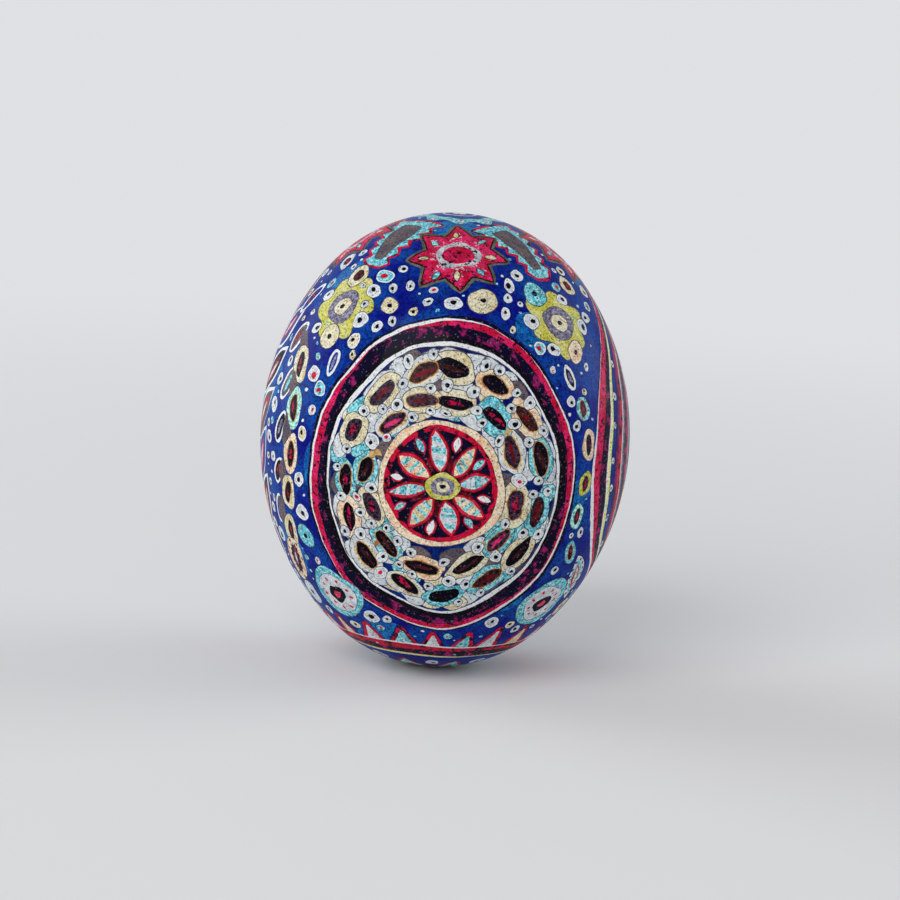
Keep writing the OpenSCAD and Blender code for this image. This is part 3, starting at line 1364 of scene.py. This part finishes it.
# %% Finish the mesh
sharp_from = math.radians(25)
bmesh.ops.recalc_face_normals(shell_work, faces=shell_work.faces)
for face in shell_work.faces:
    face.smooth = True
for edge in shell_work.edges:
    if len(edge.link_faces) == 2 and edge.calc_face_angle(0) > sharp_from:
        edge.smooth = False
shell_mesh = bpy.data.meshes.new("dyed_eggshell")
shell_work.to_mesh(shell_mesh)
shell_work.free()
shell = add_object("dyed_eggshell", shell_mesh)
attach(shell, "root")
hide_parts("eggshell")
shell_mesh.calc_loop_triangles()
print("triangles:", len(shell_mesh.loop_triangles))

# %% [markdown]
# ## The dyes
#
# Dye soaks into the shell, so each colour is flat but never even. It is stronger in some patches, grainy
# close to, gritty with dark specks, and broken by the shell's pores, which are dark pinpricks one or two
# millimetres apart. Dark and red dyes also get pale specks, which are painted glints of the varnish. Pale
# dyes also show hair cracks. Pores, grain, grit and cracks are alike under every dye, so one node group
# makes them, and a short function adds each dye's own colours and painted glints.
# Clear varnish over it all is the shader's coat, with a slow swell of its own.

# %% Make the pores, grain and cracks


def noise(tree, place, size, detail=2.0, **values):
    """A cloudy pattern whose blotches are about this many mm across."""
    return add_node(tree, "ShaderNodeTexNoise", Vector=place, Scale=1 / MM / size, Detail=detail, **values)


def cells(tree, place, size, **values):
    """The distance to the middle or the edge of random cells of about this many mm."""
    found = add_node(tree, "ShaderNodeTexVoronoi", Vector=place, Scale=1 / MM / size, **values)
    return found.outputs["Distance"]


shell_grain = bpy.data.node_groups.new("shell_grain", "ShaderNodeTree")
place = object_place(shell_grain)
pore_gate = noise(shell_grain, place, 5, 1.0).outputs["Fac"]
pits = ramp(shell_grain, cells(shell_grain, place, 1.05), 0.17, 0.29, 1, 0)
pits = combine(shell_grain, "MULTIPLY", pits, ramp(shell_grain, pore_gate, 0.3, 0.44))
bend = noise(shell_grain, place, 6, 3.0).outputs["Color"]
bent = add_node(shell_grain, "ShaderNodeMixRGB", blend_type="ADD", Fac=0.004, Color1=place, Color2=bend)
crack_gate = noise(shell_grain, place, 14).outputs["Fac"]
crack_edge = cells(shell_grain, bent.outputs[0], 10, feature="DISTANCE_TO_EDGE")
splits = ramp(shell_grain, crack_edge, 0.006, 0.014, 1, 0)
splits = combine(shell_grain, "MULTIPLY", splits, ramp(shell_grain, crack_gate, 0.5, 0.56))
# The grit noise gives both the dark specks and the pale painted glints.
marks = {
    "Pores": pits,
    "Cracks": splits,
    "Grain": noise(shell_grain, place, 0.8, 3.0, Roughness=0.7).outputs["Fac"],
    "Grit": noise(shell_grain, place, 0.8).outputs["Fac"],
    "Swell": noise(shell_grain, place, 3.5).outputs["Fac"],
}
for name in marks:
    shell_grain.interface.new_socket(name, in_out="OUTPUT", socket_type="NodeSocketFloat")
add_node(shell_grain, "NodeGroupOutput", **marks)
print("shell grain outputs:", [item.name for item in shell_grain.interface.items_tree])

# %% Mix a dye
# The colour of the pale specks on dark and red dyes: painted glints of the varnish.
painted_glint_colour = (150, 128, 150)
stain_colour = (28, 16, 26)
varnish_weight = 0.065


def linear(red, green, blue):
    """A shader colour from screen values of 0 to 255."""
    parts = [c / 255 for c in (red, green, blue)]
    return [c / 12.92 if c < 0.04045 else ((c + 0.055) / 1.055) ** 2.4 for c in parts] + [1]


def mixed(tree, share, first, second):
    """A colour that goes from the first to the second as the share rises."""
    return add_node(tree, "ShaderNodeMixRGB", Fac=share, Color1=first, Color2=second).outputs[0]


def bump(tree, height, strength, depth_mm, **values):
    """Bumps of a pattern, this deep in mm."""
    bumps = add_node(tree, "ShaderNodeBump", Height=height, Strength=strength, **values)
    return fill(tree, bumps, Distance=depth_mm * MM).outputs[0]


def dyed(
    name,
    first,
    second,
    patch=7.0,
    spread=0.12,
    grain=0.25,
    pores=0.8,
    cracks=0.0,
    level=0.5,
    glints=0.0,
    fleck=None,
):
    """One dye in the shell: two tones in patches, grain, pores, painted glints and cracks, under varnish.
    """
    material, tree, shader = new_material(name)
    detail = add_node(tree, "ShaderNodeGroup", node_tree=shell_grain).outputs
    place = object_place(tree)
    patches = noise(tree, place, patch, 5.0, Roughness=0.62).outputs["Fac"]
    tone = ramp(tree, patches, level - spread, level + spread)
    colour = mixed(tree, tone, linear(*first), linear(*second))
    if fleck:
        spots = noise(tree, place, 1.2, Roughness=0.6).outputs["Fac"]
        colour = mixed(tree, ramp(tree, spots, 0.56, 0.62), colour, linear(*fleck))
    strength = ramp(tree, detail["Grain"], 0.3, 0.7, 1 - grain, 1 + grain)
    grainy = add_node(tree, "ShaderNodeHueSaturation", Color=colour, Value=strength).outputs[0]
    # Painted glints: pale specks where the grit is low, as strong as the dye's glints value.
    with_glints = mixed(tree, ramp(tree, detail["Grit"], 0.38, 0.3, 0, glints), grainy, linear(*painted_glint_colour))
    specks = ramp(tree, detail["Grit"], 0.62, 0.7, 0, 0.66)
    pits = combine(tree, "MULTIPLY", combine(tree, "MAXIMUM", detail["Pores"], specks), pores)
    pits = combine(tree, "MAXIMUM", pits, combine(tree, "MULTIPLY", detail["Cracks"], cracks))
    fill(
        tree,
        shader,
        Base_Color=mixed(tree, pits, with_glints, linear(*stain_colour)),
        Roughness=ramp(tree, detail["Grain"], 0.3, 0.7, 0.3, 0.42),
        Normal=bump(tree, pits, 0.35, 0.12, invert=True),
        Coat_Normal=bump(tree, detail["Swell"], 0.12, 0.15),
        Specular_IOR_Level=0.02,
        Coat_Weight=varnish_weight,
        Coat_Roughness=0.09,
    )
    return material


print("varnish weight:", varnish_weight)

# %% [markdown]
# ## The palette
#
# Each dye has two tones and the width of its patches in millimetres. The blotched red and navy are lines
# where one dye ran into another, so their tones are far apart and their edges hard. The colours are the
# ones seen in the photograph under plain light. What a row leaves out is as dyed() has it.

# %% Mix every dye on the egg
palette = (
    ("cobalt", (1, 12, 122), (5, 60, 146), dict(patch=12, grain=0.8, pores=0.4)),
    ("azure", (10, 76, 152), (18, 112, 178), dict(patch=5, grain=0.8, pores=0.4)),
    ("deep_blue", (2, 10, 88), (4, 42, 118), dict(grain=0.7, pores=0.3)),
    ("navy", (2, 2, 20), (7, 6, 46), dict(patch=4, grain=0.4, pores=0.4, glints=0.4)),
    ("soot", (2, 1, 8), (11, 5, 20), dict(patch=3, grain=0.5, pores=0.5, glints=0.42)),
    ("dusk", (14, 8, 22), (70, 52, 72), dict(patch=1.1, spread=0.1, grain=0.5, pores=0.6, glints=0.5)),
    ("umber", (18, 8, 12), (76, 40, 40), dict(patch=1.1, spread=0.1, grain=0.5, pores=0.6, glints=0.5)),
    ("brown", (34, 12, 16), (70, 24, 28), dict(patch=2.5, grain=0.4, glints=0.4)),
    ("hairline", (38, 40, 58), (78, 76, 92), dict(patch=4, grain=0.3, pores=0.2)),
    ("deep_line", (2, 6, 84), (8, 26, 104), dict(patch=5, grain=0.2, pores=0.2)),
    ("white", (193, 201, 208), (219, 225, 228), dict(patch=3, grain=0.26, cracks=0.5)),
    ("bright", (222, 226, 230), (232, 234, 236), dict(patch=5, grain=0.1, pores=0.6)),
    ("soft_white", (186, 192, 206), (216, 220, 228), dict(patch=1.5, grain=0.3)),
    ("cream", (221, 215, 188), (206, 188, 144), dict(patch=4, grain=0.4, cracks=0.6, level=0.56)),
    ("peach", (232, 214, 188), (226, 176, 134), dict(patch=4, grain=0.38, cracks=0.4, level=0.57)),
    ("turquoise", (76, 172, 192), (150, 216, 222), dict(patch=1.4, grain=0.75, cracks=0.25)),
    ("mint", (142, 212, 202), (182, 230, 216), dict(patch=1.6, grain=0.55, cracks=0.25)),
    ("yellow", (192, 188, 66), (208, 206, 128), dict(patch=4, grain=0.45, cracks=0.25)),
    ("pale_yellow", (220, 224, 126), (232, 234, 166), dict(patch=4, grain=0.36)),
    ("grey", (82, 74, 86), (108, 95, 96), dict(patch=5, grain=0.5, pores=0.9)),
    ("olive", (80, 80, 64), (108, 108, 90), dict(patch=4, grain=0.34)),
    ("lilac", (90, 84, 108), (148, 144, 168), dict(patch=1.2, grain=0.75)),
    ("crimson", (190, 6, 38), (218, 32, 70), dict(patch=3, grain=0.55, pores=0.7, glints=0.3)),
    ("pink", (208, 30, 84), (234, 90, 132), dict(patch=2, grain=0.55, pores=0.7, glints=0.3)),
    ("oxblood", (60, 6, 16), (120, 12, 30), dict(patch=3, grain=0.35, pores=0.6, glints=0.35)),
    ("plum", (54, 8, 58), (128, 24, 104), dict(patch=4, grain=0.3, pores=0.5, glints=0.4)),
    ("scorch", (206, 178, 118), (168, 96, 40), dict(patch=3, spread=0.08, grain=0.2, pores=0.6)),
    ("ember", (14, 4, 18), (184, 14, 66), dict(patch=1.3, spread=0.05, grain=0.3, pores=0.6, glints=0.4)),
    (
        "crimson_blotch",
        (202, 12, 56),
        (12, 4, 26),
        dict(patch=3, spread=0.05, grain=0.4, level=0.55, glints=0.4),
    ),
    ("pink_blotch", (222, 54, 112), (146, 10, 64), dict(patch=2, spread=0.04, grain=0.2, glints=0.4)),
    (
        "navy_blotch",
        (3, 4, 36),
        (152, 24, 98),
        dict(patch=3.4, spread=0.06, grain=0.3, pores=0.5, level=0.575, glints=0.5),
    ),
    (
        "pink_flecked",
        (222, 34, 98),
        (186, 8, 50),
        dict(patch=4, grain=0.5, pores=0.7, glints=0.35, fleck=(18, 8, 44)),
    ),
    (
        # The star's inner pink, with pale flecks and the strongest painted glints of any dye.
        "worn_pink",
        (224, 44, 104),
        (176, 10, 52),
        dict(patch=4, grain=0.5, pores=0.9, glints=0.6, fleck=(212, 176, 190)),
    ),
    ("white_flecked", (206, 208, 214), (168, 172, 182), dict(patch=3, fleck=(20, 16, 40))),
    ("raw_shell", (226, 224, 214), (236, 234, 228), dict(patch=3, grain=0.08, cracks=0.2)),
)
dyes = {name: dyed(name, first, second, **marks) for name, first, second, marks in palette}
for name in dye_names:
    shell_mesh.materials.append(dyes[name])
print("dyes on the shell:", len(shell_mesh.materials), "of", len(dyes))

# %% [markdown]
# ## The dried membranes
#
# Two skins line a blown egg, and show only down the hole. They dry like tissue paper, so the solids from
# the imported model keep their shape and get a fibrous, matt finish.

# %% Finish the membranes


def skin_paper(name, first, second, fibre):
    """Dried membrane: fine crossed fibres in two near tones."""
    material, tree, shader = new_material(name)
    fibres = noise(tree, object_place(tree), fibre, 6.0, Roughness=0.7, Distortion=2.5).outputs["Fac"]
    fill(
        tree,
        shader,
        Base_Color=mixed(tree, ramp(tree, fibres, 0.38, 0.62), linear(*first), linear(*second)),
        Normal=bump(tree, fibres, 0.5, 0.1),
        Roughness=0.85,
        Specular_IOR_Level=0.3,
    )
    return material


for node_name, paper in (
    ("outer_membrane", skin_paper("outer_skin", (214, 204, 180), (232, 226, 208), 2.2)),
    ("inner_membrane", skin_paper("inner_skin", (198, 184, 154), (224, 214, 190), 1.4)),
):
    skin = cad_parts[node_name]
    for slot in skin.material_slots:
        slot.material = paper
    print(node_name, "slots:", len(skin.material_slots))

# %% [markdown]
# ## Smooth gloss
#
# The skin's triangles are of very mixed sizes, and a gloss shows the least unevenness in how they are
# shaded. The egg's true outward direction is known at every point of its three arcs, so it is given to
# each corner of the skin. The bevel and the inside keep the directions that Blender works out.

# %% Set the skin's outward directions


def read(items, attribute, width=1, kind=np.int32):
    """One attribute of every item, as an array with a row for each."""
    values = np.zeros(len(items) * width, kind)
    items.foreach_get(attribute, values)
    return values.reshape(-1, width) if width > 1 else values


normals = read(shell_mesh.corner_normals, "vector", 3, np.float32)
corners = read(shell_mesh.loops, "vertex_index")
x, y, z = read(shell_mesh.vertices, "co", 3, np.float32)[corners].T
face_dyes = read(shell_mesh.polygons, "material_index")
on_skin = np.repeat(face_dyes, read(shell_mesh.polygons, "loop_total")) < len(dye_names) - 1
tilt = np.interp(np.arctan2(np.hypot(x, y), z), polar_angle, fine_tilt)
turn = np.arctan2(x, -y)
true_way = np.stack([np.cos(tilt) * np.sin(turn), -np.cos(tilt) * np.cos(turn), np.sin(tilt)], axis=-1)
normals[on_skin] = true_way[on_skin]
shell_mesh.normals_split_custom_set([tuple(normal) for normal in normals.tolist()])
print("corners given the egg's own direction:", int(on_skin.sum()), "of", len(on_skin))

# %% [markdown]
# ## The end
#
# The design lies in the shell, so the dyed egg must keep the imported model's size.

# %% Update the scene
bpy.context.view_layer.update()
